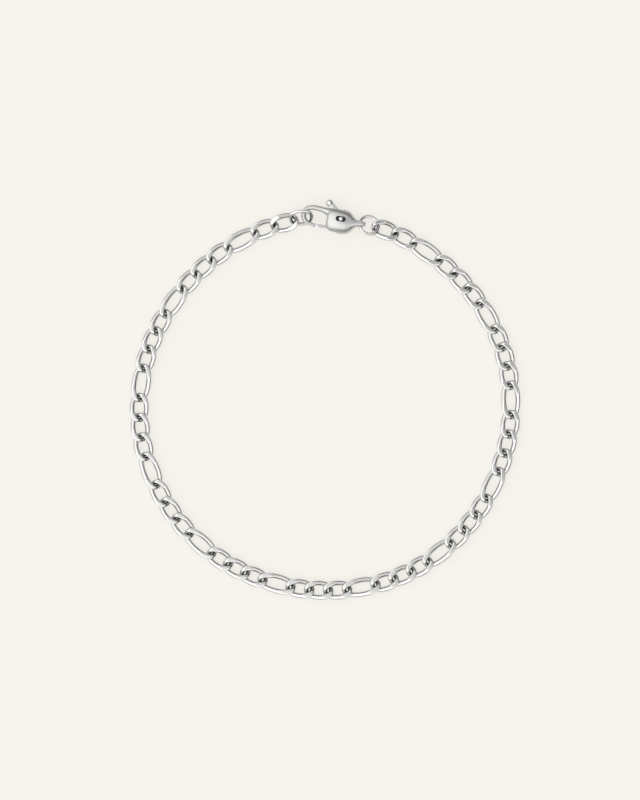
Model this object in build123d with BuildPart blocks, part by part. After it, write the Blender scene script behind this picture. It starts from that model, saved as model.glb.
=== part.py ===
# Link bracelet: a flattened curb chain of one long and three short links in turn, closed by a
# lobster clasp and laid flat as a ring. Millimetres. X runs to the right, Y towards the clasp and
# Z up. The origin is the middle of the laid bracelet on the surface that it rests on.

from build123d import *
import os
from collections import namedtuple
from math import asin, atan2, cos, degrees, radians, sin, tan

os.makedirs("parts", exist_ok=True)

# Chain: two lengths of twisted curb link, and the plain oval ring that hangs in the clasp's hook
LINK_WIDTH = 3.08
LINK_THICKNESS = 1.24
Shape = namedtuple("Shape", "length wire twist")
SHAPES = {
    "hook": Shape(3.90, 0.50, 0.0),
    "short": Shape(4.76, 0.62, -35.0),
    "long": Shape(6.32, 0.62, -35.0),
}
LINKS = ["short", "short"] + ["long", "short", "short", "short"] * 11 + ["long", "short", "short"]

# Corners of a quarter of a link's centre line, as shares of its half length and half width
Corner = namedtuple("Corner", "along across")
END = Corner(1.0, 0.46)
SHOULDER = Corner(0.62, 0.97)
MIDDLE = Corner(0.0, 1.03)
ARC_SHARE = 0.45

# The ring that the chain is laid in: its middle line runs anticlockwise from the clasp's hook to
# the jump ring, with the waves of a chain that is laid by hand
RING_CENTRE = (0.03, -0.914)
RING_RADIUS = 29.35
FIRST_JOINT = 99.27
LAST_JOINT = 433.96
Wave = namedtuple("Wave", "lobes height peak")
WAVES = (
    Wave(3, 0.144, 90.0),
    Wave(4, 0.100, 14.5),
    Wave(5, 0.082, 18.0),
)

# How slack each stretch of the chain lies: every link has the least slack, and its share of the
# slack that the whole ring still leaves
LEAST_SLACK = 0.10
Stretch = namedtuple("Stretch", "links share")
STRETCHES = (
    Stretch(6, 0.45),
    Stretch(14, 1.00),
    Stretch(12, 1.40),
    Stretch(12, 1.15),
    Stretch(3, 0.70),
    Stretch(2, 0.45),
)

# Links beside the clasp are lifted, turned and rolled out of the chain's plane
Lift = namedtuple("Lift", "along in_ up heading pitch roll")
LEVEL = Lift(0, 0, 0, 0, 0, 0)
LIFTS = {
    0: Lift(0.039, -0.012, 0.190, -1.30, 5.5, 0.1),
    47: Lift(0.073, -0.021, 0.070, -1.00, -2.1, -0.4),
    48: Lift(0.072, 0.026, 0.245, 1.00, -5.3, 2.0),
}

# The oval ring leans in the clasp's hook: its outer side lies over the claw, its inner side under
HOOK_LINK_AT = (-3.789, 28.770, 1.400)
HOOK_LINK_HEADING = -175.9
HOOK_LINK_PITCH = -1.5
HOOK_LINK_ROLL = -41.3

# Clasp: its own frame has the rivet at its origin, X towards the tail and Y towards the thumb knob
CLASP_THICKNESS = 2.75
CLASP_AT = (2.49, 28.54, 1.45)
CLASP_HEADING = -9.0

# Sections of the body from its front to the tip of its tail
Section = namedtuple("Section", "along middle width thickness corner")
BODY = (
    Section(-2.28, -0.29, 3.09, 1.60, 0.70),
    Section(-2.05, -0.31, 3.67, 2.20, 0.95),
    Section(-1.20, -0.33, 4.02, 2.65, 1.10),
    Section(0.20, -0.37, 4.02, CLASP_THICKNESS, 1.15),
    Section(1.30, -0.39, 3.50, 2.65, 1.10),
    Section(1.95, -0.40, 2.26, 2.40, 0.80),
    Section(2.45, -0.34, 1.18, 2.20, 0.45),
    Section(3.10, -0.26, 0.78, 2.00, 0.35),
    Section(3.65, -0.24, 0.56, 1.30, 0.25),
    Section(3.86, -0.23, 0.30, 0.70, 0.12),
)
EYE_ALONG = 3.0
EYE_RADIUS = 0.56

# Sections of the claw from its root in the body, round the hook and on to its tip
Bend = namedtuple("Bend", "along across heading width thickness")
CLAW_TURN = 1.30
CLAW_CENTRE = (-4.60, -0.17)
CLAW_ROOT = (
    Bend(-1.85, 0.88, 176.0, 1.00, 1.30),
    Bend(-3.30, 1.09, 176.0, 0.88, 1.05),
)
CLAW_ARC = (
    Bend(None, None, 90.0, 0.84, 0.92),
    Bend(None, None, 135.0, 0.82, 0.78),
    Bend(None, None, 180.0, 0.82, 0.76),
    Bend(None, None, 225.0, 0.70, 0.76),
    Bend(None, None, 265.0, 0.55, 0.74),
)
CLAW_TIP = Bend(-3.74, -1.63, 40.0, 0.62, 0.70)

# Lever: a flat plate with its thumb knob outside the body and its gate across the hook's mouth
LEVER_THICKNESS = 0.80
LEVER_ROOM = 1.00
LEVER_ROUNDING = 0.20
GATE_TIP = ((-3.82, -1.33), (-3.38, -1.85))
LEVER_OUTLINE = (
    (-1.45, -1.31),
    (-0.80, -0.60),
    (-0.80, 0.35),
    (-1.58, 1.35),
    (-2.42, 2.10),
    (-1.85, 2.60),
    (-0.92, 1.75),
    (0.35, 0.75),
    (0.65, 0.00),
    (0.40, -0.70),
    (-0.45, -1.70),
    (-1.00, -1.88),
)
KNOB_AT = (-2.12, 2.26)
KNOB_RADIUS = 0.47
KNOB_THICKNESS = 0.94
KNOB_ROUNDING = 0.25
ROOM_OUTLINE = (
    (-2.80, -0.28),
    (-1.72, -0.28),
    (-1.72, 1.15),
    (-2.70, 2.03),
    (-2.70, 2.90),
    (0.12, 2.90),
    (0.12, 1.75),
    (0.82, 0.62),
    (0.84, -0.10),
    (0.56, -0.86),
    (-0.30, -1.86),
    (-0.40, -2.80),
    (-2.80, -2.80),
)

# Rivet, in an oblong dimple of the body's upper face
RIVET_RADIUS = 0.25
RIVET_PLAY = 0.03
RIVET_FIT = 0.01
DIMPLE_LENGTH = 1.60
DIMPLE_WIDTH = 0.86
DIMPLE_DEPTH = 0.32
RIVET_PROUD = 0.08

# Jump ring, leaning in the tail's eye and in the last link
RING_WIRE = 0.50
JUMP_RING_RADIUS = 1.525
JUMP_RING_AT = (4.54, -0.28, -0.26)
JUMP_RING_PITCH = 11.2
JUMP_RING_ROLL = -24.4


def tilted_plane(origin, heading, pitch=0.0, roll=0.0):
    """A plane whose X runs along the heading, dipped by the pitch and rolled about itself."""
    flat = Vector(cos(radians(heading)), sin(radians(heading)), 0)
    side = Vector(0, 0, 1).cross(flat)
    forward = flat * cos(radians(pitch)) - Vector(0, 0, 1) * sin(radians(pitch))
    up = forward.cross(side).rotate(Axis((0, 0, 0), forward), roll)
    return Plane(origin=origin, x_dir=forward, z_dir=up)


def twisted(corner, shape, side):
    """A corner of the link's centre line, turned about the link's length by the twist there."""
    turn = radians(shape.twist * side * corner.along)
    along = side * (shape.length - shape.wire) / 2 * corner.along
    reach = (LINK_WIDTH - shape.wire) / 2 * corner.across
    return Vector(along, reach * cos(turn), reach * sin(turn))


def half_route(shape):
    """One long side of a link's centre line, from the middle of one end to the other."""
    end = Vector((shape.length - shape.wire) / 2, 0, 0)
    right = [twisted(corner, shape, 1) for corner in (END, SHOULDER, MIDDLE)]
    left = [twisted(corner, shape, -1) for corner in (SHOULDER, END)]
    return [end, *right, *left, -end]


def arc_radii(points):
    """A radius for each corner, as large as its two runs allow."""
    radii = []
    for i in range(1, len(points) - 1):
        before = points[i] - points[i - 1]
        after = points[i + 1] - points[i]
        turn = radians(before.get_angle(after))
        run_before = before.length * (2 if i == 1 else 1)
        run_after = after.length * (2 if i == len(points) - 2 else 1)
        radii.append(ARC_SHARE * min(run_before, run_after) / tan(turn / 2))
    return radii


def make_link(shape):
    """An oval of round wire, twisted and then pressed flat on its top and bottom."""
    points = half_route(shape)
    with BuildPart() as link:
        with BuildLine() as side:
            FilletPolyline(*points, radius=arc_radii(points))
        route = side.wire()
        with BuildSketch(Plane(origin=route @ 0, z_dir=route % 0)):
            Circle(shape.wire / 2)
        sweep(path=route)
        add(link.part.rotate(Axis.X, 180))
        Box(2 * shape.length, 2 * LINK_WIDTH, LINK_THICKNESS, mode=Mode.INTERSECT)
    return link.part


def on_ring(angle):
    """A point of the laid ring's middle line."""
    waves = sum(wave.height * cos(wave.lobes * radians(angle - wave.peak)) for wave in WAVES)
    reach = RING_RADIUS + waves
    x = RING_CENTRE[0] + reach * cos(radians(angle))
    y = RING_CENTRE[1] + reach * sin(radians(angle))
    return Vector(x, y, LINK_THICKNESS / 2)


def joint_angles():
    """The ring's angles where link meets link, with the slack shared out by the stretches."""
    shares = [stretch.share for stretch in STRETCHES for _ in range(stretch.links)]
    pitches = [SHAPES[kind].length - 2 * SHAPES[kind].wire - LEAST_SLACK for kind in LINKS]
    round_the_ring = radians(LAST_JOINT - FIRST_JOINT) * RING_RADIUS
    slack = (sum(pitches) - round_the_ring) / sum(shares)
    angles = [FIRST_JOINT]
    for longest, share in zip(pitches, shares):
        pitch = longest - slack * share
        angles.append(angles[-1] + degrees(2 * asin(pitch / 2 / RING_RADIUS)))
    return angles


def link_places():
    """A kind of link and a plane for every link of the ring."""
    joints = [on_ring(angle) for angle in joint_angles()]
    places = []
    for i, kind in enumerate(LINKS):
        lift = LIFTS.get(i, LEVEL)
        run = joints[i + 1] - joints[i]
        heading = degrees(atan2(run.Y, run.X))
        level = tilted_plane((joints[i] + joints[i + 1]) / 2, heading)
        middle = level.from_local_coords((lift.along, lift.in_, lift.up))
        places.append((kind, tilted_plane(middle, heading + lift.heading, lift.pitch, lift.roll)))
    return places


# Chain: fifty loose links, each clear of its neighbours
links = {kind: make_link(shape) for kind, shape in SHAPES.items()}
places = link_places()
hook_place = tilted_plane(HOOK_LINK_AT, HOOK_LINK_HEADING, HOOK_LINK_PITCH, HOOK_LINK_ROLL)
places.insert(0, ("hook", hook_place))
with BuildPart() as chain:
    for kind in SHAPES:
        with Locations(*[plane for which, plane in places if which == kind]):
            add(links[kind])
chain.part.label = "chain"
export_step(chain.part, "parts/chain.step")

# The clasp's planes: flat, upright along its length, and across it at a section
clasp = tilted_plane(CLASP_AT, CLASP_HEADING)


def across_at(along, middle, heading):
    """A plane square to a heading in the clasp's plane, with its own X lying flat."""
    normal = (clasp.x_dir * cos(radians(heading))) + (clasp.y_dir * sin(radians(heading)))
    flat = clasp.z_dir.cross(normal)
    return Plane(origin=clasp.from_local_coords((along, middle, 0)), x_dir=flat, z_dir=normal)


# Jump ring
ring_at = clasp.from_local_coords(JUMP_RING_AT)
with BuildPart(tilted_plane(ring_at, CLASP_HEADING, JUMP_RING_PITCH, JUMP_RING_ROLL)) as jump_ring:
    Torus(JUMP_RING_RADIUS, RING_WIRE / 2)
jump_ring.part.label = "jump_ring"
export_step(jump_ring.part, "parts/jump_ring.step")

# Clasp body: the cast body with its tail, then the claw, less the lever's room and the holes
with BuildPart() as clasp_body:
    for section in BODY:
        with BuildSketch(across_at(section.along, section.middle, 0)):
            RectangleRounded(section.width, section.thickness, section.corner)
    loft()
    with BuildSketch(clasp):
        with BuildLine():
            Polyline(*ROOM_OUTLINE, close=True)
        make_face()
    extrude(amount=LEVER_ROOM / 2, both=True, mode=Mode.SUBTRACT)
    for bend in CLAW_ROOT:
        with BuildSketch(across_at(bend.along, bend.across, bend.heading)):
            Ellipse(bend.width / 2, bend.thickness / 2)
    for bend in CLAW_ARC:
        along = CLAW_CENTRE[0] + CLAW_TURN * cos(radians(bend.heading))
        middle = CLAW_CENTRE[1] + CLAW_TURN * sin(radians(bend.heading))
        with BuildSketch(across_at(along, middle, bend.heading + 90)):
            Ellipse(bend.width / 2, bend.thickness / 2)
    with BuildSketch(across_at(CLAW_TIP.along, CLAW_TIP.across, CLAW_TIP.heading)):
        Ellipse(CLAW_TIP.width / 2, CLAW_TIP.thickness / 2)
    loft()
    with BuildSketch(clasp):
        Circle(RIVET_RADIUS + RIVET_FIT)
    extrude(amount=CLASP_THICKNESS, both=True, mode=Mode.SUBTRACT)
    with BuildSketch(clasp.offset(CLASP_THICKNESS / 2 - DIMPLE_DEPTH)):
        SlotOverall(DIMPLE_LENGTH, DIMPLE_WIDTH)
    extrude(amount=DIMPLE_DEPTH * 2, mode=Mode.SUBTRACT)
    with BuildSketch(across_at(EYE_ALONG, 0, 90)):
        Circle(EYE_RADIUS)
    extrude(amount=CLASP_THICKNESS, both=True, mode=Mode.SUBTRACT)
clasp_body.part.label = "clasp_body"
export_step(clasp_body.part, "parts/clasp_body.step")

# Lever: its knob first, then the plate that carries the knob and the gate
with BuildPart() as clasp_lever:
    with BuildSketch(clasp):
        with Locations(KNOB_AT):
            Circle(KNOB_RADIUS)
    extrude(amount=KNOB_THICKNESS / 2, both=True)
    fillet(clasp_lever.edges().filter_by(GeomType.CIRCLE), KNOB_ROUNDING)
    with BuildSketch(clasp) as plate:
        with BuildLine():
            Polyline(GATE_TIP[0], *LEVER_OUTLINE, GATE_TIP[1], close=True)
        make_face()
        corners = plate.vertices()
        tip = [clasp.from_local_coords((*point, 0)) for point in GATE_TIP]
        fillet([v for v in corners if all((Vector(v) - t).length > 0.01 for t in tip)], LEVER_ROUNDING)
        Circle(RIVET_RADIUS + RIVET_PLAY, mode=Mode.SUBTRACT)
    extrude(amount=LEVER_THICKNESS / 2, both=True)
clasp_lever.part.label = "clasp_lever"
export_step(clasp_lever.part, "parts/clasp_lever.step")

# Rivet
with BuildPart() as clasp_pin:
    with BuildSketch(clasp.offset(-CLASP_THICKNESS / 2 + RIVET_PROUD)):
        Circle(RIVET_RADIUS)
    extrude(amount=CLASP_THICKNESS - DIMPLE_DEPTH)
clasp_pin.part.label = "clasp_pin"
export_step(clasp_pin.part, "parts/clasp_pin.step")
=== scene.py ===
"""Looks of a steel link bracelet: curb links, lobster clasp and jump ring on the fixed frame."""

from collections import namedtuple
from math import asin, atan2, cos, degrees, pi, radians, sin

import bmesh
import bpy
from bpy.props import FloatProperty, FloatVectorProperty, IntProperty, PointerProperty
from mathutils import Matrix, Vector


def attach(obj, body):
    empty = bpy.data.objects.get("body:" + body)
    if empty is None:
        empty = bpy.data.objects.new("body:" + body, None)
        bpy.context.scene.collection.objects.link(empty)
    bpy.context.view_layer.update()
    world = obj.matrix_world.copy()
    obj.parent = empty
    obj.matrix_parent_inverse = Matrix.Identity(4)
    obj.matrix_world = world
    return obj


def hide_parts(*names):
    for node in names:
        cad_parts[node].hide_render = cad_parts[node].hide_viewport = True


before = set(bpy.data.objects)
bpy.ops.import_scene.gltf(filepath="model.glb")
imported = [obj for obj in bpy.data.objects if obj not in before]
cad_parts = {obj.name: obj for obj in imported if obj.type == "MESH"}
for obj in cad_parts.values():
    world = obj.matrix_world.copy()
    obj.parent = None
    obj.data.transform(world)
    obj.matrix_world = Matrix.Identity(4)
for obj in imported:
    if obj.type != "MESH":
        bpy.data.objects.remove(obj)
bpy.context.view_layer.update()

bl_info = {
    "name": "Link Bracelet",
    "version": (1, 0, 0),
    "blender": (4, 5, 0),
    "location": "View3D > Sidebar > Bracelet",
    "description": "Builds the links, clasp and stage of a laid link bracelet",
    "category": "Add Mesh",
}

MM = 0.001

# Chain: the kinds of link, and the order of the links after the ring in the clasp's hook
KINDS = ("hook", "short", "long")
LINKS = ["short", "short"] + ["long", "short", "short", "short"] * 11 + ["long", "short", "short"]

# The solids' own links in millimetres and degrees, which set where each link lies
LINK_THICKNESS = 1.24
Shape = namedtuple("Shape", "length wire twist")
SHAPES = {
    "hook": Shape(3.90, 0.50, 0.0),
    "short": Shape(4.76, 0.62, -35.0),
    "long": Shape(6.32, 0.62, -35.0),
}

# Names of the link trees' inputs: a kind's own sizes, the sizes that all links share, and counts
KIND_SIZES = ("Length", "Wire", "Swell", "Twist")
SHARED_SIZES = ("Width", "Thickness", "Softness", "Squareness")
COUNTS = ("Path points", "Wire sides")

# Centre of the side wire, as a share of the width: over half makes up for what the twist draws in
HALF_WIDTH_SHARE = 0.51

# Shares of a link's half length over which its wire thins and its painted shade deepens
Span = namedtuple("Span", "start end")
SWELL_FADE = Span(0.45, 0.95)
PAINTED_SHADE_FADE = Span(0.60, 0.85)

# How far a face looks outwards where the painted shade starts and where it is full
INNER_FACING = Span(0.15, -0.65)

# Painted shade along a link's sides, as a share of the painted shade at its ends
SIDE_PAINTED_SHADE = 0.45

# The laid ring's middle line, in millimetres and degrees
RING_CENTRE = (0.03, -0.914)
RING_RADIUS = 29.35
FIRST_JOINT = 99.27
LAST_JOINT = 433.96
Wave = namedtuple("Wave", "lobes height peak")
WAVES = (
    Wave(3, 0.144, 90.0),
    Wave(4, 0.100, 14.5),
    Wave(5, 0.082, 18.0),
)
LEAST_SLACK = 0.10
Stretch = namedtuple("Stretch", "links share")
STRETCHES = (
    Stretch(6, 0.45),
    Stretch(14, 1.00),
    Stretch(12, 1.40),
    Stretch(12, 1.15),
    Stretch(3, 0.70),
    Stretch(2, 0.45),
)

# Links beside the clasp are lifted, turned and rolled out of the chain's plane
Lift = namedtuple("Lift", "along in_ up heading pitch roll")
LEVEL = Lift(0, 0, 0, 0, 0, 0)
LIFTS = {
    0: Lift(0.039, -0.012, 0.190, -1.30, 5.5, 0.1),
    47: Lift(0.073, -0.021, 0.070, -1.00, -2.1, -0.4),
    48: Lift(0.072, 0.026, 0.245, 1.00, -5.3, 2.0),
}
Place = namedtuple("Place", "at heading pitch roll")
HOOK_LINK = Place((-3.789, 28.770, 1.400), -175.9, -1.5, -41.3)

# Clasp's own frame, in millimetres: the rivet at its origin, X to the tail, Y to the thumb knob
CLASP = Place((2.49, 28.54, 1.45), -9.0, 0.0, 0.0)
CLASP_THICKNESS = 2.75

# Body from its front to the tip of its tail, more domed than the solids' body
Section = namedtuple("Section", "along middle width thickness squareness")
BODY = (
    Section(-2.24, -0.27, 2.80, 1.50, 2.2),
    Section(-2.10, -0.29, 3.36, 1.84, 2.2),
    Section(-1.75, -0.32, 3.84, 2.20, 2.1),
    Section(-1.20, -0.34, 4.04, 2.50, 2.0),
    Section(-0.30, -0.36, 4.06, CLASP_THICKNESS, 2.0),
    Section(0.70, -0.38, 3.86, 2.66, 2.0),
    Section(1.40, -0.39, 3.38, 2.36, 2.0),
    Section(1.95, -0.39, 2.32, 2.12, 2.0),
    Section(2.45, -0.33, 1.34, 2.02, 2.4),
    Section(3.05, -0.26, 1.00, 1.98, 3.0),
    Section(3.60, -0.24, 0.84, 1.86, 3.0),
    Section(3.98, -0.23, 0.60, 1.56, 2.6),
)
BODY_STEPS = 66
EYE_ALONG = 3.0
EYE_RADIUS = 0.56

# Claw: its root, the turn of the hook and its tip
CLAW_TURN = 1.30
CLAW_CENTRE = (-4.60, -0.17)
Bend = namedtuple("Bend", "along across width thickness")
Turn = namedtuple("Turn", "angle width thickness")
CLAW_ROOT = (
    Bend(-1.60, 0.72, 1.60, 1.70),
    Bend(-2.27, 0.85, 1.26, 1.45),
    Bend(-2.68, 0.94, 1.04, 1.20),
    Bend(-3.34, 1.07, 0.90, 1.02),
)
CLAW_ARC = (
    Turn(90, 0.84, 0.92),
    Turn(135, 0.82, 0.78),
    Turn(180, 0.82, 0.76),
    Turn(225, 0.70, 0.76),
    Turn(265, 0.55, 0.74),
)
CLAW_TIP = Bend(-3.74, -1.63, 0.58, 0.68)
CLAW_STEPS = 64

# Lever: its plate's outline, its thumb knob and the room that it moves in
LEVER_THICKNESS = 0.80
LEVER_ROOM = 1.00
LEVER_OUTLINE = (
    (-3.92, -1.34),
    (-1.45, -1.31),
    (-0.80, -0.60),
    (-0.80, 0.35),
    (-1.58, 1.35),
    (-2.42, 2.10),
    (-1.85, 2.60),
    (-0.92, 1.75),
    (0.35, 0.75),
    (0.65, 0.00),
    (0.40, -0.70),
    (-0.45, -1.80),
    (-1.00, -2.06),
    (-3.46, -2.00),
)
KNOB_AT = (-2.17, 2.25)
KNOB_RADIUS = 0.61
ROOM_OUTLINE = (
    (-2.80, -0.28),
    (-1.72, -0.28),
    (-1.72, 1.15),
    (-2.70, 2.03),
    (-2.70, 2.90),
    (0.12, 2.90),
    (0.12, 1.75),
    (0.82, 0.62),
    (0.84, -0.10),
    (0.56, -0.86),
    (-0.30, -1.86),
    (-0.40, -2.80),
    (-2.80, -2.80),
)

# Rivet and its oblong dimple
RIVET_RADIUS = 0.25
RIVET_PLAY = 0.03
RIVET_PROUD = 0.08
DIMPLE_LENGTH = 1.60
DIMPLE_WIDTH = 0.80
DIMPLE_DEPTH = 0.32

# Rivet's outline: shares of its radius, and heights from its low end and from its head's middle
Turned = namedtuple("Turned", "share height")
RIVET_FOOT = (
    Turned(0.30, 0.0),
    Turned(0.90, 0.02),
    Turned(1.00, 0.07),
)
RIVET_HEAD = (
    Turned(0.96, -0.16),
    Turned(1.35, -0.10),
    Turned(1.38, -0.04),
    Turned(1.10, 0.02),
    Turned(0.65, 0.05),
    Turned(0.20, 0.06),
)

# Painted shade in the dimple: how high it stands above the floor and how far it reaches past the
# wall
DIMPLE_SHADE = 0.22
DIMPLE_LIP = 0.02

# Cutters reach this far past the metal, and the edges that they leave are softened in few passes
CUTTER_REACH = 1.0
CUT_ROUNDING = 2

# Jump ring, in the clasp's frame
JUMP_RING_RADIUS = 1.525
JUMP_RING = Place((4.54, -0.28, -0.26), 0.0, 11.2, -24.4)
JUMP_RING_STEPS = 96
JUMP_RING_SIDES = 20

# Where the light fades: factors of the patch's reach, and steps from the belt's top
PATCH_FADE = Span(0.6, 1.5)
BELT_FADE = Span(-0.10, 0.15)
LEAST_BELT = 0.05

# Half the floor's side in metres, and the middle of the camera's frame in millimetres
FLOOR_REACH = 3.0
FRAME_MIDDLE = (-0.80, 0.0)


class ChainSizes(bpy.types.PropertyGroup):
    """Sizes of the flattened curb links."""
    fullness: FloatProperty(
        name="Fullness", description="How much thicker the wire looks than the solids' wire",
        default=0.16 * MM, unit="LENGTH", precision=6)
    hook_fullness: FloatProperty(
        name="Hook ring fullness", description="The same for the oval ring in the clasp's hook",
        default=0.05 * MM, unit="LENGTH", precision=6)
    side_swell: FloatProperty(
        name="Side swell", description="How many times as thick the wire is midway along a link",
        default=1.08, min=1.0, max=1.6)
    width: FloatProperty(
        name="Width", description="Width of a link over its wires",
        default=3.10 * MM, unit="LENGTH", precision=6)
    thickness: FloatProperty(
        name="Thickness", description="Height of a link between its pressed flats",
        default=LINK_THICKNESS * MM, unit="LENGTH", precision=6)
    softness: FloatProperty(
        name="Flat softness", description="How far the edge of a pressed flat is rounded over",
        default=0.07 * MM, unit="LENGTH", precision=6)
    squareness: FloatProperty(
        name="Squareness", description="Exponent of the link's oval: 2 is an ellipse",
        default=2.5, min=2.0, max=6.0)
    path_points: IntProperty(
        name="Path points", description="Points round a link's centre line", default=72)
    wire_sides: IntProperty(
        name="Wire sides", description="Points round a link's wire", default=18)


class ClaspSizes(bpy.types.PropertyGroup):
    """How finely the cast pieces of the clasp are made."""
    grain: FloatProperty(
        name="Grain", description="Size of the faces that a cast piece is made of",
        default=0.045 * MM, unit="LENGTH", precision=6)
    rounding: IntProperty(
        name="Rounding", description="Passes of tumbling that soften the cast edges", default=5)
    lever_rounding: IntProperty(
        name="Lever rounding", description="Passes of tumbling that round the lever over",
        default=13)
    ring_wire: FloatProperty(
        name="Ring wire", description="Diameter of the jump ring's wire",
        default=0.56 * MM, unit="LENGTH", precision=6)


class SteelLook(bpy.types.PropertyGroup):
    """Colour and polish of the steel."""
    colour: FloatVectorProperty(
        name="Colour", description="Colour of the bare polished steel",
        default=(0.80, 0.80, 0.79), subtype="COLOR", min=0.0, max=1.0)
    roughness: FloatProperty(
        name="Roughness", description="Roughness of a freshly polished face",
        default=0.10, min=0.0, max=1.0, subtype="FACTOR")
    relief: FloatProperty(
        name="Relief", description="Depth of the polishing lines",
        default=0.0012 * MM, unit="LENGTH", precision=7)
    scratches: FloatProperty(
        name="Scratches", description="How strongly the polishing lines show",
        default=0.12, min=0.0, max=1.0, subtype="FACTOR")


class StageLook(bpy.types.PropertyGroup):
    """Floor, light and camera."""
    floor: FloatVectorProperty(
        name="Floor", description="Colour of the pale floor",
        default=(0.915, 0.888, 0.842), subtype="COLOR", min=0.0, max=1.0)
    floor_glow: FloatProperty(
        name="Floor glow", description="How much of the floor's light is its own", default=0.80)
    floor_matt: FloatProperty(
        name="Floor reflection", description="How much of the light on it the floor gives back",
        default=0.22)
    frame_width: FloatProperty(
        name="Frame width", description="Width of the floor that the camera takes in",
        default=101.12 * MM, unit="LENGTH", precision=5)
    camera_height: FloatProperty(
        name="Camera height", description="Height of the camera above the floor",
        default=0.80, unit="LENGTH")
    dome: FloatProperty(
        name="Dome light", description="Strength of the soft light round the middle", default=1.30)
    patch: FloatProperty(
        name="Overhead patch", description="Strength of the light in the greyer patch overhead",
        default=0.50)
    patch_reach: FloatProperty(
        name="Patch reach", description="Sine of the angle that the grey patch reaches",
        default=0.26)
    patch_lean: FloatVectorProperty(
        name="Patch lean", description="Direction of the grey patch's middle along X and Y",
        default=(0.20, 0.14, 0.0))
    horizon: FloatProperty(
        name="Horizon light", description="Strength of the light low round the object",
        default=0.28)
    belt_top: FloatProperty(
        name="Belt top", description="Sine of the height where the dark belt ends", default=0.52)
    belt_side: FloatProperty(
        name="Belt side", description="How much lighter the belt is on the left than in front",
        default=0.16)
    side: FloatVectorProperty(
        name="Side light", description="Share by which the light grows along X and Y",
        default=(-0.50, -0.20, 0.0))
    tint: FloatVectorProperty(
        name="Light colour", description="Colour of the soft light",
        default=(1.0, 1.0, 1.0), subtype="COLOR", min=0.0, max=1.0)


def turned(place):
    """A place's matrix, in millimetres: heading about Z, then pitch about Y, then roll about X."""
    heading = Matrix.Rotation(radians(place.heading), 4, "Z")
    pitch = Matrix.Rotation(radians(place.pitch), 4, "Y")
    roll = Matrix.Rotation(radians(place.roll), 4, "X")
    return Matrix.Translation(place.at) @ heading @ pitch @ roll


TO_METRES = Matrix.Scale(MM, 4)


def on_ring(angle):
    """A point of the laid ring's middle line, in millimetres."""
    waves = sum(wave.height * cos(wave.lobes * radians(angle - wave.peak)) for wave in WAVES)
    reach = RING_RADIUS + waves
    x = RING_CENTRE[0] + reach * cos(radians(angle))
    y = RING_CENTRE[1] + reach * sin(radians(angle))
    return Vector((x, y, LINK_THICKNESS / 2))


def joint_angles():
    """The ring's angles where link meets link, with the slack shared out by the stretches."""
    shares = [stretch.share for stretch in STRETCHES for _ in range(stretch.links)]
    pitches = [SHAPES[kind].length - 2 * SHAPES[kind].wire - LEAST_SLACK for kind in LINKS]
    round_the_ring = radians(LAST_JOINT - FIRST_JOINT) * RING_RADIUS
    slack = (sum(pitches) - round_the_ring) / sum(shares)
    angles = [FIRST_JOINT]
    for longest, share in zip(pitches, shares):
        pitch = longest - slack * share
        angles.append(angles[-1] + degrees(2 * asin(pitch / 2 / RING_RADIUS)))
    return angles


def link_places():
    """The kind and place of every link, the one in the clasp's hook first."""
    joints = [on_ring(angle) for angle in joint_angles()]
    places = [("hook", HOOK_LINK)]
    for i, kind in enumerate(LINKS):
        lift = LIFTS.get(i, LEVEL)
        run = joints[i + 1] - joints[i]
        heading = atan2(run.y, run.x)
        along = Vector((cos(heading), sin(heading), 0))
        across = Vector((-sin(heading), cos(heading), 0))
        middle = (joints[i] + joints[i + 1]) / 2 + along * lift.along + across * lift.in_
        middle.z += lift.up
        place = Place(tuple(middle), degrees(heading) + lift.heading, lift.pitch, lift.roll)
        places.append((kind, place))
    return places


class Graph:
    """Adds nodes to a tree and joins them, so that a formula reads as one."""

    def __init__(self, tree):
        self.tree = tree

    def node(self, kind, sockets=None, **settings):
        """A node with its settings, and its input sockets filled or joined by name or number."""
        node = self.tree.nodes.new(kind)
        for name, value in settings.items():
            setattr(node, name, value)
        for name, value in (sockets or {}).items():
            self.feed(node.inputs[name], value)
        return node

    def feed(self, socket, value):
        """Joins an output to a socket, or sets the socket's own value."""
        if isinstance(value, bpy.types.NodeSocket):
            self.tree.links.new(value, socket)
        else:
            socket.default_value = value

    def math(self, operation, *values):
        """The output of a maths node."""
        node = self.node("ShaderNodeMath", dict(enumerate(values)), operation=operation)
        return node.outputs[0]

    def powered(self, value, power):
        """A value raised to a power with its sign kept."""
        size = self.math("POWER", self.math("ABSOLUTE", value), power)
        return self.math("MULTIPLY", self.math("SIGN", value), size)

    def split(self, vector):
        """The X, Y and Z of a vector."""
        return self.node("ShaderNodeSeparateXYZ", {0: vector}).outputs

    def faded(self, value, span, first=0.0, last=1.0):
        """An amount that goes smoothly from the first to the last while a value crosses a span."""
        node = self.node("ShaderNodeMapRange", {
            "Value": value, "From Min": span.start, "From Max": span.end,
            "To Min": first, "To Max": last}, interpolation_type="SMOOTHSTEP")
        return node.outputs[0]

    def input(self, name, kind, default=None):
        """A named input of the tree."""
        socket = self.tree.interface.new_socket(name=name, in_out="INPUT", socket_type=kind)
        if default is not None:
            socket.default_value = default
        return socket

    def output(self, name, kind):
        """A named output of the tree."""
        return self.tree.interface.new_socket(name=name, in_out="OUTPUT", socket_type=kind)


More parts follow.
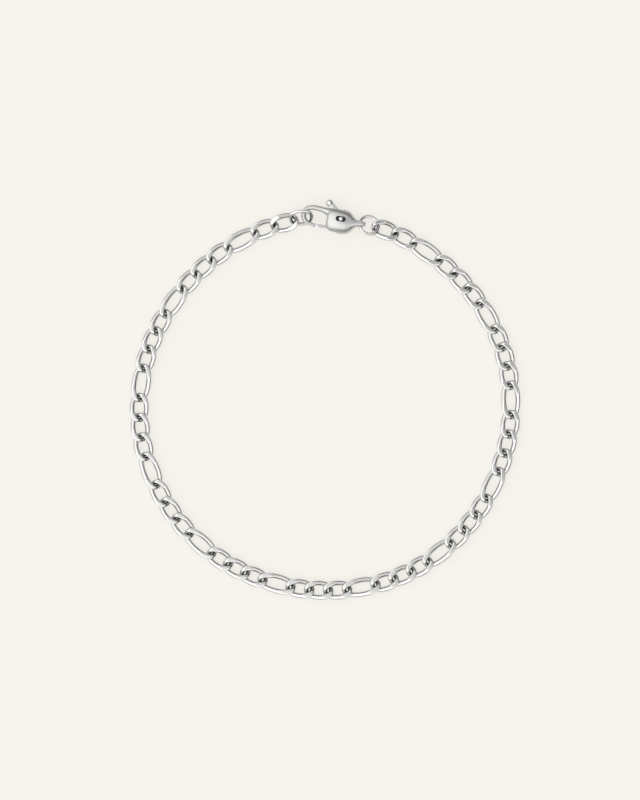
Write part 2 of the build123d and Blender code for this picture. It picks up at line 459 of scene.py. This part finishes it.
def link_tree():
    """A node tree that makes one twisted link, pressed flat on its top and bottom."""
    tree = bpy.data.node_groups.new("Curb link", "GeometryNodeTree")
    graph = Graph(tree)
    for name in (*KIND_SIZES, *SHARED_SIZES):
        graph.input(name, "NodeSocketFloat")
    for name in COUNTS:
        graph.input(name, "NodeSocketInt")
    graph.output("Geometry", "NodeSocketGeometry")
    sizes = graph.node("NodeGroupInput").outputs

    circle = graph.node("GeometryNodeCurvePrimitiveCircle", {
        "Resolution": sizes["Path points"], "Radius": 1.0})
    spot = graph.split(graph.node("GeometryNodeInputPosition").outputs[0])
    power = graph.math("DIVIDE", 2.0, sizes["Squareness"])
    along = graph.powered(spot["X"], power)
    across = graph.powered(spot["Y"], power)
    inner_length = graph.math("SUBTRACT", sizes["Length"], sizes["Wire"])
    half_length = graph.math("MULTIPLY", inner_length, 0.5)
    side_wire = graph.math("MULTIPLY", sizes["Wire"], sizes["Swell"])
    inner_width = graph.math("SUBTRACT", sizes["Width"], side_wire)
    half_width = graph.math("MULTIPLY", inner_width, HALF_WIDTH_SHARE)
    reach = graph.math("MULTIPLY", across, half_width)
    turn = graph.math("MULTIPLY", along, sizes["Twist"])
    route = graph.node("ShaderNodeCombineXYZ", {
        "X": graph.math("MULTIPLY", along, half_length),
        "Y": graph.math("MULTIPLY", reach, graph.math("COSINE", turn)),
        "Z": graph.math("MULTIPLY", reach, graph.math("SINE", turn)),
    })

    swell = graph.node("GeometryNodeCaptureAttribute", {"Geometry": circle.outputs["Curve"]})
    swell.capture_items.new("FLOAT", "swell")
    off_middle = graph.math("ABSOLUTE", along)
    graph.feed(swell.inputs["swell"], graph.faded(off_middle, SWELL_FADE, sizes["Swell"], 1.0))
    centre_line = graph.node("GeometryNodeSetPosition", {
        "Geometry": swell.outputs["Geometry"], "Position": route.outputs[0]})
    rim = graph.node("GeometryNodeCurvePrimitiveCircle", {
        "Resolution": sizes["Wire sides"], "Radius": graph.math("MULTIPLY", sizes["Wire"], 0.5)})
    tube = graph.node("GeometryNodeCurveToMesh", {
        "Curve": centre_line.outputs[0], "Profile Curve": rim.outputs["Curve"],
        "Scale": swell.outputs["swell"]})

    skin = graph.split(graph.node("GeometryNodeInputPosition").outputs[0])
    height = graph.math("ABSOLUTE", skin["Z"])
    half_thickness = graph.math("MULTIPLY", sizes["Thickness"], 0.5)
    pressed = graph.math("SMOOTH_MIN", height, half_thickness, sizes["Softness"])
    flat = graph.math("MULTIPLY", graph.math("SIGN", skin["Z"]), pressed)
    spot_on_flat = graph.node("ShaderNodeCombineXYZ", {"X": skin["X"], "Y": skin["Y"], "Z": flat})
    link = graph.node("GeometryNodeSetPosition", {
        "Geometry": tube.outputs[0], "Position": spot_on_flat.outputs[0]})

    # Painted shade: a mask that darkens the colour on the link's inward faces, most near its ends
    # where the links cross
    share = graph.math("DIVIDE", graph.math("ABSOLUTE", skin["X"]), half_length)
    near_end = graph.faded(share, PAINTED_SHADE_FADE)
    facing = graph.split(graph.node("GeometryNodeInputNormal").outputs[0])
    off_ends = graph.math("MULTIPLY", facing["X"], graph.math("SIGN", skin["X"]))
    off_sides = graph.math("MULTIPLY", facing["Y"], graph.math("SIGN", skin["Y"]))
    outwards = graph.node("ShaderNodeMix", {"Factor": near_end, "A": off_sides, "B": off_ends})
    inner = graph.faded(outwards.outputs[0], INNER_FACING)
    share_here = graph.math("MULTIPLY_ADD", near_end, 1.0 - SIDE_PAINTED_SHADE, SIDE_PAINTED_SHADE)
    depth = graph.math("MULTIPLY", share_here, inner)
    marked = graph.node("GeometryNodeStoreNamedAttribute", {
        "Geometry": link.outputs[0], "Name": "painted_shade", "Value": depth},
        data_type="FLOAT", domain="POINT")
    graph.node("NodeGroupOutput", {"Geometry": marked.outputs[0]})
    return tree


def chain_tree(one_link):
    """A node tree that sets a link of its own kind, turned its own way, on each point."""
    tree = bpy.data.node_groups.new("Curb chain", "GeometryNodeTree")
    graph = Graph(tree)
    graph.input("Geometry", "NodeSocketGeometry")
    for kind in KINDS:
        for name in KIND_SIZES:
            graph.input(f"{name} of {kind} links", "NodeSocketFloat")
    for name in SHARED_SIZES:
        graph.input(name, "NodeSocketFloat")
    for name in COUNTS:
        graph.input(name, "NodeSocketInt")
    graph.input("Steel", "NodeSocketMaterial")
    graph.output("Geometry", "NodeSocketGeometry")
    given = graph.node("NodeGroupInput").outputs

    turn = graph.node("GeometryNodeInputNamedAttribute", {"Name": "turn"}, data_type="FLOAT_VECTOR")
    kind_here = graph.node("GeometryNodeInputNamedAttribute", {"Name": "kind"}, data_type="INT")
    rotation = graph.node("FunctionNodeEulerToRotation", {0: turn.outputs["Attribute"]})
    joined = graph.node("GeometryNodeJoinGeometry")
    for number, kind in enumerate(KINDS):
        link = graph.node("GeometryNodeGroup", node_tree=one_link)
        for socket in link.inputs:
            name = f"{socket.name} of {kind} links" if socket.name in KIND_SIZES else socket.name
            graph.feed(socket, given[name])
        chosen = graph.node("FunctionNodeCompare", data_type="INT", operation="EQUAL")
        graph.feed(chosen.inputs[2], kind_here.outputs["Attribute"])
        graph.feed(chosen.inputs[3], number)
        laid = graph.node("GeometryNodeInstanceOnPoints", {
            "Points": given["Geometry"], "Selection": chosen.outputs[0],
            "Instance": link.outputs[0], "Rotation": rotation.outputs[0]})
        tree.links.new(laid.outputs[0], joined.inputs[0])
    solid = graph.node("GeometryNodeRealizeInstances", {"Geometry": joined.outputs[0]})
    smooth = graph.node("GeometryNodeSetShadeSmooth", {"Geometry": solid.outputs[0]})
    steel = graph.node("GeometryNodeSetMaterial", {
        "Geometry": smooth.outputs[0], "Material": given["Steel"]})
    graph.node("NodeGroupOutput", {"Geometry": steel.outputs[0]})
    return tree


def set_inputs(modifier, values):
    """Sets a node modifier's inputs by the identifiers of their sockets."""
    for item in modifier.node_group.interface.items_tree:
        if item.item_type == "SOCKET" and item.in_out == "INPUT" and item.name in values:
            modifier[item.identifier] = values[item.name]


def settled(thing):
    """The evaluated mesh of an object, as a mesh of its own."""
    bpy.context.view_layer.update()
    evaluated = thing.evaluated_get(bpy.context.evaluated_depsgraph_get())
    return bpy.data.meshes.new_from_object(evaluated)


def outward(mesh):
    """Turns a closed mesh's faces outwards."""
    skin = bmesh.new()
    skin.from_mesh(mesh)
    bmesh.ops.recalc_face_normals(skin, faces=skin.faces)
    skin.to_mesh(mesh)
    skin.free()


def new_object(name, mesh):
    """An object at the origin that shows a mesh."""
    thing = bpy.data.objects.new(name, mesh)
    bpy.context.scene.collection.objects.link(thing)
    return thing


def finished(name, mesh, material, body, node):
    """A finished piece: shaded smooth, in its steel, on its body and in place of its node."""
    for face in mesh.polygons:
        face.use_smooth = True
    mesh.materials.clear()
    mesh.materials.append(material)
    piece = new_object(name, mesh)
    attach(piece, body)
    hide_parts(node)
    return piece


def eased(rows, count):
    """Rows between the given ones, with every column led smoothly through the rows' values."""
    last = len(rows) - 1
    eased_rows = []
    for step in range(count + 1):
        place = step / count * last
        i = min(int(place), last - 1)
        t = place - i
        around = [rows[max(i - 1, 0)], rows[i], rows[i + 1], rows[min(i + 2, last)]]
        row = []
        for before, start, end, after in zip(*around):
            bend = 2 * before - 5 * start + 4 * end - after
            jerk = 3 * (start - end) + after - before
            row.append(start + 0.5 * t * ((end - before) + t * (bend + t * jerk)))
        eased_rows.append(row)
    return eased_rows


def domed(width, thickness, squareness, steps=40):
    """Points round an oval that is squarer the higher its squareness, which is 2 for an ellipse."""
    points = []
    for step in range(steps):
        angle = 2 * pi * (step + 0.5) / steps
        reach_x = abs(cos(angle)) ** (2 / squareness)
        reach_y = abs(sin(angle)) ** (2 / squareness)
        points.append((width / 2 * (reach_x if cos(angle) > 0 else -reach_x),
                       thickness / 2 * (reach_y if sin(angle) > 0 else -reach_y)))
    return points


def oval(width, thickness, steps=24):
    """Points round an ellipse."""
    return [(width / 2 * cos(2 * pi * i / steps), thickness / 2 * sin(2 * pi * i / steps))
            for i in range(steps)]


def skinned(rings):
    """A closed bmesh through rings of points."""
    skin = bmesh.new()
    loops = [[skin.verts.new(point) for point in ring] for ring in rings]
    for first, second in zip(loops, loops[1:]):
        for i in range(len(first)):
            j = (i + 1) % len(first)
            skin.faces.new((first[i], first[j], second[j], second[i]))
    skin.faces.new(reversed(loops[0]))
    skin.faces.new(loops[-1])
    bmesh.ops.recalc_face_normals(skin, faces=skin.faces)
    return skin


def slab(outline, low, high):
    """A closed bmesh of an outline in the clasp's plane, between two heights."""
    return skinned([[(x, y, z) for x, y in outline] for z in (low, high)])


def as_mesh(name, *skins):
    """One mesh of several bmeshes."""
    whole = bpy.data.meshes.new(name)
    together = bmesh.new()
    for skin in skins:
        part = bpy.data.meshes.new(name)
        skin.to_mesh(part)
        together.from_mesh(part)
        skin.free()
        bpy.data.meshes.remove(part)
    together.to_mesh(whole)
    together.free()
    return whole


def cast(mesh, grain, passes):
    """A mesh fused into one skin with softened edges. Sizes are in millimetres."""
    blank = new_object("blank", mesh)
    fused = blank.modifiers.new("fused", "REMESH")
    fused.mode = "VOXEL"
    fused.voxel_size = grain
    fused.adaptivity = 0.0
    soft = blank.modifiers.new("soft", "SMOOTH")
    soft.factor = 0.5
    soft.iterations = passes
    result = settled(blank)
    bpy.data.objects.remove(blank)
    return result


def cut(mesh, *cutters):
    """A mesh less its cutters."""
    blank = new_object("blank", mesh)
    tools = []
    for cutter in cutters:
        tool = new_object("cutter", as_mesh("cutter", cutter))
        hole = blank.modifiers.new("hole", "BOOLEAN")
        hole.operation = "DIFFERENCE"
        hole.solver = "EXACT"
        hole.object = tool
        tools.append(tool)
    result = settled(blank)
    for thing in (blank, *tools):
        bpy.data.objects.remove(thing)
    return result


def clasp_body_rings():
    """Rings of the body from its front to the tip of its tail, in the clasp's frame."""
    rings = []
    for along, middle, width, thickness, squareness in eased(BODY, BODY_STEPS):
        outline = domed(width, thickness, squareness)
        rings.append([(along, middle + y, z) for y, z in outline])
    return rings


def claw_rings():
    """Rings of the claw from its root to its tip, in the clasp's frame."""
    rows = [tuple(bend) for bend in CLAW_ROOT]
    for turn in CLAW_ARC:
        along = CLAW_CENTRE[0] + CLAW_TURN * cos(radians(turn.angle))
        across = CLAW_CENTRE[1] + CLAW_TURN * sin(radians(turn.angle))
        rows.append((along, across, turn.width, turn.thickness))
    rows.append(tuple(CLAW_TIP))
    rows = eased(rows, CLAW_STEPS)
    rings = []
    for i, (along, across, width, thickness) in enumerate(rows):
        before = rows[max(i - 1, 0)]
        after = rows[min(i + 1, len(rows) - 1)]
        heading = atan2(after[1] - before[1], after[0] - before[0])
        ring = []
        for side, height in oval(width, thickness):
            ring.append((along - side * sin(heading), across + side * cos(heading), height))
        rings.append(ring)
    return rings


def disc(centre, radius, steps=48):
    """An outline of a circle in the clasp's plane."""
    x, y = centre
    return [(x + radius * cos(2 * pi * i / steps), y + radius * sin(2 * pi * i / steps))
            for i in range(steps)]


def oblong(length, width, steps=16):
    """An outline with half-round ends about the origin."""
    points = []
    for side in (1, -1):
        for step in range(steps + 1):
            angle = radians(-90 + 180 * step / steps)
            points.append((side * ((length - width) / 2 + width / 2 * cos(angle)),
                           side * width / 2 * sin(angle)))
    return points


def ball(centre, radius):
    """A closed bmesh of a ball."""
    skin = bmesh.new()
    bmesh.ops.create_uvsphere(skin, u_segments=32, v_segments=20, radius=radius,
                              matrix=Matrix.Translation(centre))
    return skin


def hoop(radius, wire, place):
    """A closed bmesh of a round ring of wire, at a place."""
    skin = bmesh.new()
    loops = []
    for i in range(JUMP_RING_STEPS):
        angle = 2 * pi * i / JUMP_RING_STEPS
        loop = []
        for side, height in oval(wire, wire, JUMP_RING_SIDES):
            reach = radius + side
            spot = Vector((reach * cos(angle), reach * sin(angle), height))
            loop.append(skin.verts.new(place @ spot))
        loops.append(loop)
    for loop, following in zip(loops, loops[1:] + loops[:1]):
        for j in range(JUMP_RING_SIDES):
            k = (j + 1) % JUMP_RING_SIDES
            skin.faces.new((loop[j], following[j], following[k], loop[k]))
    return skin


def marked_recess(mesh):
    """Marks how far each point of the clasp's mesh lies down in the dimple, from 0 to 1, for the
    shade painted into it.
    """
    straight = (DIMPLE_LENGTH - DIMPLE_WIDTH) / 2
    reach = DIMPLE_WIDTH / 2 + DIMPLE_LIP
    floor = CLASP_THICKNESS / 2 - DIMPLE_DEPTH
    depths = []
    for point in mesh.vertices:
        x, y, z = point.co
        inside = Vector((max(abs(x) - straight, 0), y)).length < reach and z > 0
        depths.append(min(max((floor + DIMPLE_SHADE - z) / DIMPLE_SHADE, 0), 1) if inside else 0)
    painted_shade = mesh.attributes.new("painted_shade", "FLOAT", "POINT")
    painted_shade.data.foreach_set("value", depths)
    return mesh


def placed_on_clasp(mesh):
    """Takes a mesh from the clasp's frame in millimetres to the row's frame in metres."""
    mesh.transform(TO_METRES @ turned(CLASP))
    outward(mesh)
    return mesh


def scratch_group(name):
    """Fine polishing lines in two directions, as a height."""
    tree = bpy.data.node_groups.new(name, "ShaderNodeTree")
    graph = Graph(tree)
    graph.input("Line width", "NodeSocketFloat", 0.04 * MM)
    graph.input("Line length", "NodeSocketFloat", 1.2 * MM)
    graph.output("Height", "NodeSocketFloat")
    given = graph.node("NodeGroupInput").outputs
    coordinates = graph.node("ShaderNodeTexCoord").outputs["Object"]
    across = graph.math("DIVIDE", 1.0, given["Line width"])
    along = graph.math("DIVIDE", 1.0, given["Line length"])
    heights = []
    for turn, stretch in ((0.4, (along, across, across)), (1.9, (across, along, across))):
        scale = graph.node("ShaderNodeCombineXYZ", dict(enumerate(stretch)))
        lines = graph.node("ShaderNodeMapping", {
            "Vector": coordinates, "Rotation": (0, 0, turn), "Scale": scale.outputs[0]})
        noise = graph.node("ShaderNodeTexNoise", {
            "Vector": lines.outputs[0], "Scale": 1.0, "Detail": 2.0, "Roughness": 0.6})
        heights.append(noise.outputs[0])
    graph.node("NodeGroupOutput", {"Height": graph.math("MULTIPLY", *heights)})
    return tree


def marks_group(name):
    """Faint handling marks, as a share from 0 to 1 that roughens the polish."""
    tree = bpy.data.node_groups.new(name, "ShaderNodeTree")
    graph = Graph(tree)
    graph.input("Mark size", "NodeSocketFloat", 3.0 * MM)
    graph.input("Clean", "NodeSocketFloat", 0.45)
    graph.input("Full", "NodeSocketFloat", 0.75)
    graph.output("Marks", "NodeSocketFloat")
    given = graph.node("NodeGroupInput").outputs
    coordinates = graph.node("ShaderNodeTexCoord").outputs["Object"]
    noise = graph.node("ShaderNodeTexNoise", {
        "Vector": coordinates, "Scale": graph.math("DIVIDE", 1.0, given["Mark size"]),
        "Detail": 5.0, "Roughness": 0.65})
    spread = graph.node("ShaderNodeMapRange", {
        "Value": noise.outputs[0], "From Min": given["Clean"], "From Max": given["Full"]})
    graph.node("NodeGroupOutput", {"Marks": spread.outputs[0]})
    return tree


def tone_group(name):
    """Slight drift of the steel's tone from place to place, as a colour."""
    tree = bpy.data.node_groups.new(name, "ShaderNodeTree")
    graph = Graph(tree)
    graph.input("Colour", "NodeSocketColor")
    graph.input("Drift", "NodeSocketFloat", 0.05)
    graph.input("Patch size", "NodeSocketFloat", 4.0 * MM)
    graph.output("Colour", "NodeSocketColor")
    given = graph.node("NodeGroupInput").outputs
    coordinates = graph.node("ShaderNodeTexCoord").outputs["Object"]
    noise = graph.node("ShaderNodeTexNoise", {
        "Vector": coordinates, "Scale": graph.math("DIVIDE", 1.0, given["Patch size"]),
        "Detail": 3.0})
    drift = graph.math("MULTIPLY", noise.outputs[0], given["Drift"])
    darker = graph.node("ShaderNodeHueSaturation", {
        "Value": graph.math("SUBTRACT", 1.0, drift), "Color": given["Colour"]})
    graph.node("NodeGroupOutput", {"Colour": darker.outputs[0]})
    return tree


def effect(name, make):
    """A shared shader node group by its name, made the first time that it is asked for."""
    return bpy.data.node_groups.get(name) or make(name)


def steel(name, look, tint=1.0, roughness=None, marks=0.10, dark_where=None, darkest=1.0):
    """A polished steel with polishing lines, handling marks and a drift of tone.

    Where the attribute dark_where nears 1, shade is painted into the steel's colour, down to the
    darkest share of it.
    """
    material = bpy.data.materials.new(name)
    material.use_nodes = True
    material.node_tree.nodes.clear()
    graph = Graph(material.node_tree)
    tone = graph.node("ShaderNodeGroup", node_tree=effect("Steel tone", tone_group))
    tone.inputs["Colour"].default_value = (*[channel * tint for channel in look.colour], 1.0)
    worn = graph.node("ShaderNodeGroup", node_tree=effect("Handling marks", marks_group))
    lines = graph.node("ShaderNodeGroup", node_tree=effect("Polishing lines", scratch_group))
    polish = look.roughness if roughness is None else roughness
    rough = graph.math("MULTIPLY_ADD", worn.outputs[0], marks, polish)
    relief = graph.node("ShaderNodeBump", {
        "Height": lines.outputs[0], "Strength": look.scratches, "Distance": look.relief})
    colour = tone.outputs[0]
    if dark_where:
        # Painted shade: the colour is darkened where the named attribute is high
        shade_mask = graph.node("ShaderNodeAttribute", attribute_name=dark_where)
        left = graph.math("MULTIPLY_ADD", shade_mask.outputs["Fac"], darkest - 1.0, 1.0)
        colour = graph.node("ShaderNodeHueSaturation", {"Value": left, "Color": colour}).outputs[0]
    shader = graph.node("ShaderNodeBsdfPrincipled", {
        "Base Color": colour, "Roughness": rough, "Normal": relief.outputs[0]})
    shader.inputs["Metallic"].default_value = 1.0
    graph.node("ShaderNodeOutputMaterial", {"Surface": shader.outputs[0]})
    return material


class BRACELET_OT_chain(bpy.types.Operator):
    """Lays the curb links of the chain"""
    bl_idname = "bracelet.chain"
    bl_label = "Chain"

    def execute(self, context):
        sizes = context.scene.bracelet_chain
        places = link_places()
        points = bpy.data.meshes.new("link_points")
        points.from_pydata([Vector(place.at) * MM for _, place in places], [], [])
        turns = [(radians(place.roll), radians(place.pitch), radians(place.heading))
                 for _, place in places]
        turn = points.attributes.new("turn", "FLOAT_VECTOR", "POINT")
        turn.data.foreach_set("vector", [angle for angles in turns for angle in angles])
        kind_of = points.attributes.new("kind", "INT", "POINT")
        kind_of.data.foreach_set("value", [KINDS.index(kind) for kind, _ in places])
        blank = new_object("link_points", points)
        layer = blank.modifiers.new("chain", "NODES")
        layer.node_group = chain_tree(link_tree())
        # Shade between crossing links is painted into the chain steel's colour, down to 0.22 of it
        polished = steel("Chain steel", context.scene.bracelet_steel,
                         dark_where="painted_shade", darkest=0.22)
        values = {
            "Width": sizes.width, "Thickness": sizes.thickness, "Softness": sizes.softness,
            "Squareness": sizes.squareness, "Path points": sizes.path_points,
            "Wire sides": sizes.wire_sides, "Steel": polished,
        }
        for kind in KINDS:
            shape = SHAPES[kind]
            values[f"Length of {kind} links"] = shape.length * MM
            fullness = sizes.hook_fullness if kind == "hook" else sizes.fullness
            values[f"Wire of {kind} links"] = shape.wire * MM + fullness
            values[f"Swell of {kind} links"] = sizes.side_swell if shape.twist else 1.0
            values[f"Twist of {kind} links"] = radians(shape.twist)
        set_inputs(layer, values)
        mesh = settled(blank)
        bpy.data.objects.remove(blank)
        if not mesh.polygons:
            raise RuntimeError("the chain has no links")
        outward(mesh)
        finished("curb_chain", mesh, polished, "bracelet", "chain")
        return {"FINISHED"}


class BRACELET_OT_jump_ring(bpy.types.Operator):
    """Bends the jump ring that ties the chain to the clasp"""
    bl_idname = "bracelet.jump_ring"
    bl_label = "Jump ring"

    def execute(self, context):
        wire = context.scene.bracelet_clasp.ring_wire / MM
        place = turned(CLASP) @ turned(JUMP_RING)
        mesh = as_mesh("jump_ring_wire", hoop(JUMP_RING_RADIUS, wire, place))
        mesh.transform(TO_METRES)
        outward(mesh)
        material = steel("Ring steel", context.scene.bracelet_steel, roughness=0.09)
        finished("jump_ring_wire", mesh, material, "bracelet", "jump_ring")
        return {"FINISHED"}


class BRACELET_OT_clasp_body(bpy.types.Operator):
    """Casts the clasp's body and claw"""
    bl_idname = "bracelet.clasp_body"
    bl_label = "Clasp body"

    def execute(self, context):
        sizes = context.scene.bracelet_clasp
        grain = sizes.grain / MM
        half = CLASP_THICKNESS / 2
        past = half + CUTTER_REACH
        mesh = as_mesh("lobster_body", skinned(clasp_body_rings()))
        room = slab(ROOM_OUTLINE, -LEVER_ROOM / 2, LEVER_ROOM / 2)
        mesh = cut(mesh, room)
        body = bmesh.new()
        body.from_mesh(mesh)
        mesh = cast(as_mesh("lobster_body", body, skinned(claw_rings())), grain, sizes.rounding)
        dimple = slab(oblong(DIMPLE_LENGTH, DIMPLE_WIDTH), half - DIMPLE_DEPTH, past)
        rivet_hole = slab(disc((0, 0), RIVET_RADIUS), -past, past)
        eye = slab(disc((EYE_ALONG, 0), EYE_RADIUS), -past, past)
        upright = Matrix.Rotation(pi / 2, 3, "X")
        bmesh.ops.rotate(eye, verts=eye.verts, cent=(0, 0, 0), matrix=upright)
        mesh = cut(mesh, dimple, rivet_hole, eye)
        mesh = marked_recess(cast(mesh, grain, CUT_ROUNDING))
        placed_on_clasp(mesh)
        # The body's steel has shade painted into its colour in the dimple, nearly black at its
        # floor
        material = steel("Body steel", context.scene.bracelet_steel, tint=0.76, roughness=0.32,
                         marks=0.06, dark_where="painted_shade", darkest=0.06)
        finished("lobster_body", mesh, material, "bracelet", "clasp_body")
        return {"FINISHED"}


class BRACELET_OT_clasp_lever(bpy.types.Operator):
    """Makes the clasp's lever with its thumb knob and gate"""
    bl_idname = "bracelet.clasp_lever"
    bl_label = "Clasp lever"

    def execute(self, context):
        sizes = context.scene.bracelet_clasp
        plate = slab(LEVER_OUTLINE, -LEVER_THICKNESS / 2, LEVER_THICKNESS / 2)
        knob = ball((*KNOB_AT, 0), KNOB_RADIUS)
        mesh = cast(as_mesh("thumb_lever", plate, knob), sizes.grain / MM, sizes.lever_rounding)
        hole = slab(disc((0, 0), RIVET_RADIUS + RIVET_PLAY), -2 * CUTTER_REACH, 2 * CUTTER_REACH)
        mesh = cut(mesh, hole)
        placed_on_clasp(mesh)
        material = steel("Lever steel", context.scene.bracelet_steel, roughness=0.12)
        finished("thumb_lever", mesh, material, "lever", "clasp_lever")
        return {"FINISHED"}


class BRACELET_OT_clasp_pin(bpy.types.Operator):
    """Turns the rivet that the lever swings on"""
    bl_idname = "bracelet.clasp_pin"
    bl_label = "Clasp pin"

    def execute(self, context):
        low = -CLASP_THICKNESS / 2 + RIVET_PROUD
        high = CLASP_THICKNESS / 2 - DIMPLE_DEPTH + RIVET_PROUD
        profile = [(row.share, low + row.height) for row in RIVET_FOOT]
        profile += [(row.share, high + row.height) for row in RIVET_HEAD]
        rings = [[(x, y, height) for x, y in disc((0, 0), RIVET_RADIUS * share)]
                 for share, height in profile]
        mesh = as_mesh("rivet", skinned(rings))
        placed_on_clasp(mesh)
        material = steel("Rivet steel", context.scene.bracelet_steel, roughness=0.16)
        finished("rivet", mesh, material, "bracelet", "clasp_pin")
        return {"FINISHED"}


class BRACELET_OT_stage(bpy.types.Operator):
    """Sets the floor, the soft light and the camera"""
    bl_idname = "bracelet.stage"
    bl_label = "Stage"

    def execute(self, context):
        look = context.scene.bracelet_stage
        make_floor(look)
        make_light(look)
        make_camera(look)
        return {"FINISHED"}


def make_floor(look):
    """A wide pale floor where the bracelet rests, which also glows as a light table does."""
    mesh = bpy.data.meshes.new("floor")
    sides = ((-1, -1), (1, -1), (1, 1), (-1, 1))
    corners = [(x * FLOOR_REACH, y * FLOOR_REACH, 0) for x, y in sides]
    mesh.from_pydata(corners, [], [(0, 1, 2, 3)])
    material = bpy.data.materials.new("Pale floor")
    material.use_nodes = True
    shader = material.node_tree.nodes["Principled BSDF"]
    matt = [channel * look.floor_matt for channel in look.floor]
    shader.inputs["Base Color"].default_value = (*matt, 1.0)
    shader.inputs["Roughness"].default_value = 0.9
    shader.inputs["Specular IOR Level"].default_value = 0.0
    shader.inputs["Emission Color"].default_value = (*look.floor, 1.0)
    shader.inputs["Emission Strength"].default_value = look.floor_glow
    mesh.materials.append(material)
    floor = new_object("floor", mesh)


def make_light(look):
    """Soft light: a grey patch overhead, a bright dome round it and a dark belt low down."""
    world = bpy.data.worlds.new("Studio")
    world.use_nodes = True
    bpy.context.scene.world = world
    world.node_tree.nodes.clear()
    graph = Graph(world.node_tree)
    direction = graph.node("ShaderNodeTexCoord").outputs["Generated"]
    parts = graph.split(direction)
    off_middle = graph.node("ShaderNodeVectorMath", {
        0: direction, 1: look.patch_lean}, operation="SUBTRACT")
    off_patch = graph.split(off_middle.outputs[0])
    squares = [graph.math("POWER", off_patch[axis], 2.0) for axis in "XY"]
    reach = graph.math("SQRT", graph.math("ADD", *squares))
    patch_edge = Span(*[look.patch_reach * factor for factor in PATCH_FADE])
    overhead = graph.faded(reach, patch_edge, look.patch, look.dome)
    share_left = look.horizon / look.dome
    belt = graph.math("MULTIPLY_ADD", parts["X"], -look.belt_side, share_left)
    belt_edge = Span(*[look.belt_top + step for step in BELT_FADE])
    above_belt = graph.faded(parts["Z"], belt_edge, graph.math("MAXIMUM", belt, LEAST_BELT), 1.0)
    growth = [graph.math("MULTIPLY", parts[axis], share) for axis, share in zip("XY", look.side)]
    sideways = graph.math("ADD", 1.0, graph.math("ADD", *growth))
    strength = graph.math("MULTIPLY", graph.math("MULTIPLY", overhead, above_belt), sideways)
    sky = graph.node("ShaderNodeBackground", {"Color": (*look.tint, 1.0), "Strength": strength})
    graph.node("ShaderNodeOutputWorld", {"Surface": sky.outputs[0]})
    view = bpy.context.scene.view_settings
    view.view_transform = "Standard"
    view.look = "None"


def make_camera(look):
    """A long lens that looks straight down and takes in the photograph's frame."""
    camera = bpy.data.cameras.new("camera")
    camera.sensor_fit = "HORIZONTAL"
    camera.sensor_width = 36.0
    camera.lens = camera.sensor_width * look.camera_height / look.frame_width
    camera.clip_start = 0.01
    camera.clip_end = 20.0
    eye = bpy.data.objects.new("camera", camera)
    eye.location = (FRAME_MIDDLE[0] * MM, FRAME_MIDDLE[1] * MM, look.camera_height)
    bpy.context.scene.collection.objects.link(eye)
    bpy.context.scene.camera = eye


STEPS = (
    BRACELET_OT_chain,
    BRACELET_OT_jump_ring,
    BRACELET_OT_clasp_body,
    BRACELET_OT_clasp_lever,
    BRACELET_OT_clasp_pin,
    BRACELET_OT_stage,
)
GROUPS = {
    "bracelet_chain": ChainSizes,
    "bracelet_clasp": ClaspSizes,
    "bracelet_steel": SteelLook,
    "bracelet_stage": StageLook,
}


class BRACELET_PT_panel(bpy.types.Panel):
    """Sizes and steps of the bracelet"""
    bl_idname = "BRACELET_PT_panel"
    bl_label = "Link Bracelet"
    bl_space_type = "VIEW_3D"
    bl_region_type = "UI"
    bl_category = "Bracelet"

    def draw(self, context):
        for name, group in GROUPS.items():
            box = self.layout.box()
            box.label(text=group.bl_rna.name)
            for prop in group.__annotations__:
                box.prop(getattr(context.scene, name), prop)
        for step in STEPS:
            self.layout.operator(step.bl_idname)


CLASSES = (*GROUPS.values(), *STEPS, BRACELET_PT_panel)


def register():
    """Adds the sizes, the steps and the panel to Blender."""
    for cls in CLASSES:
        bpy.utils.register_class(cls)
    for name, group in GROUPS.items():
        setattr(bpy.types.Scene, name, PointerProperty(type=group))


def unregister():
    """Takes them out again."""
    for name in GROUPS:
        delattr(bpy.types.Scene, name)
    for cls in reversed(CLASSES):
        bpy.utils.unregister_class(cls)


def main():
    """Builds every piece and the stage."""
    register()
    for step in STEPS:
        area, name = step.bl_idname.split(".")
        getattr(getattr(bpy.ops, area), name)()


if __name__ == "__main__":
    main()
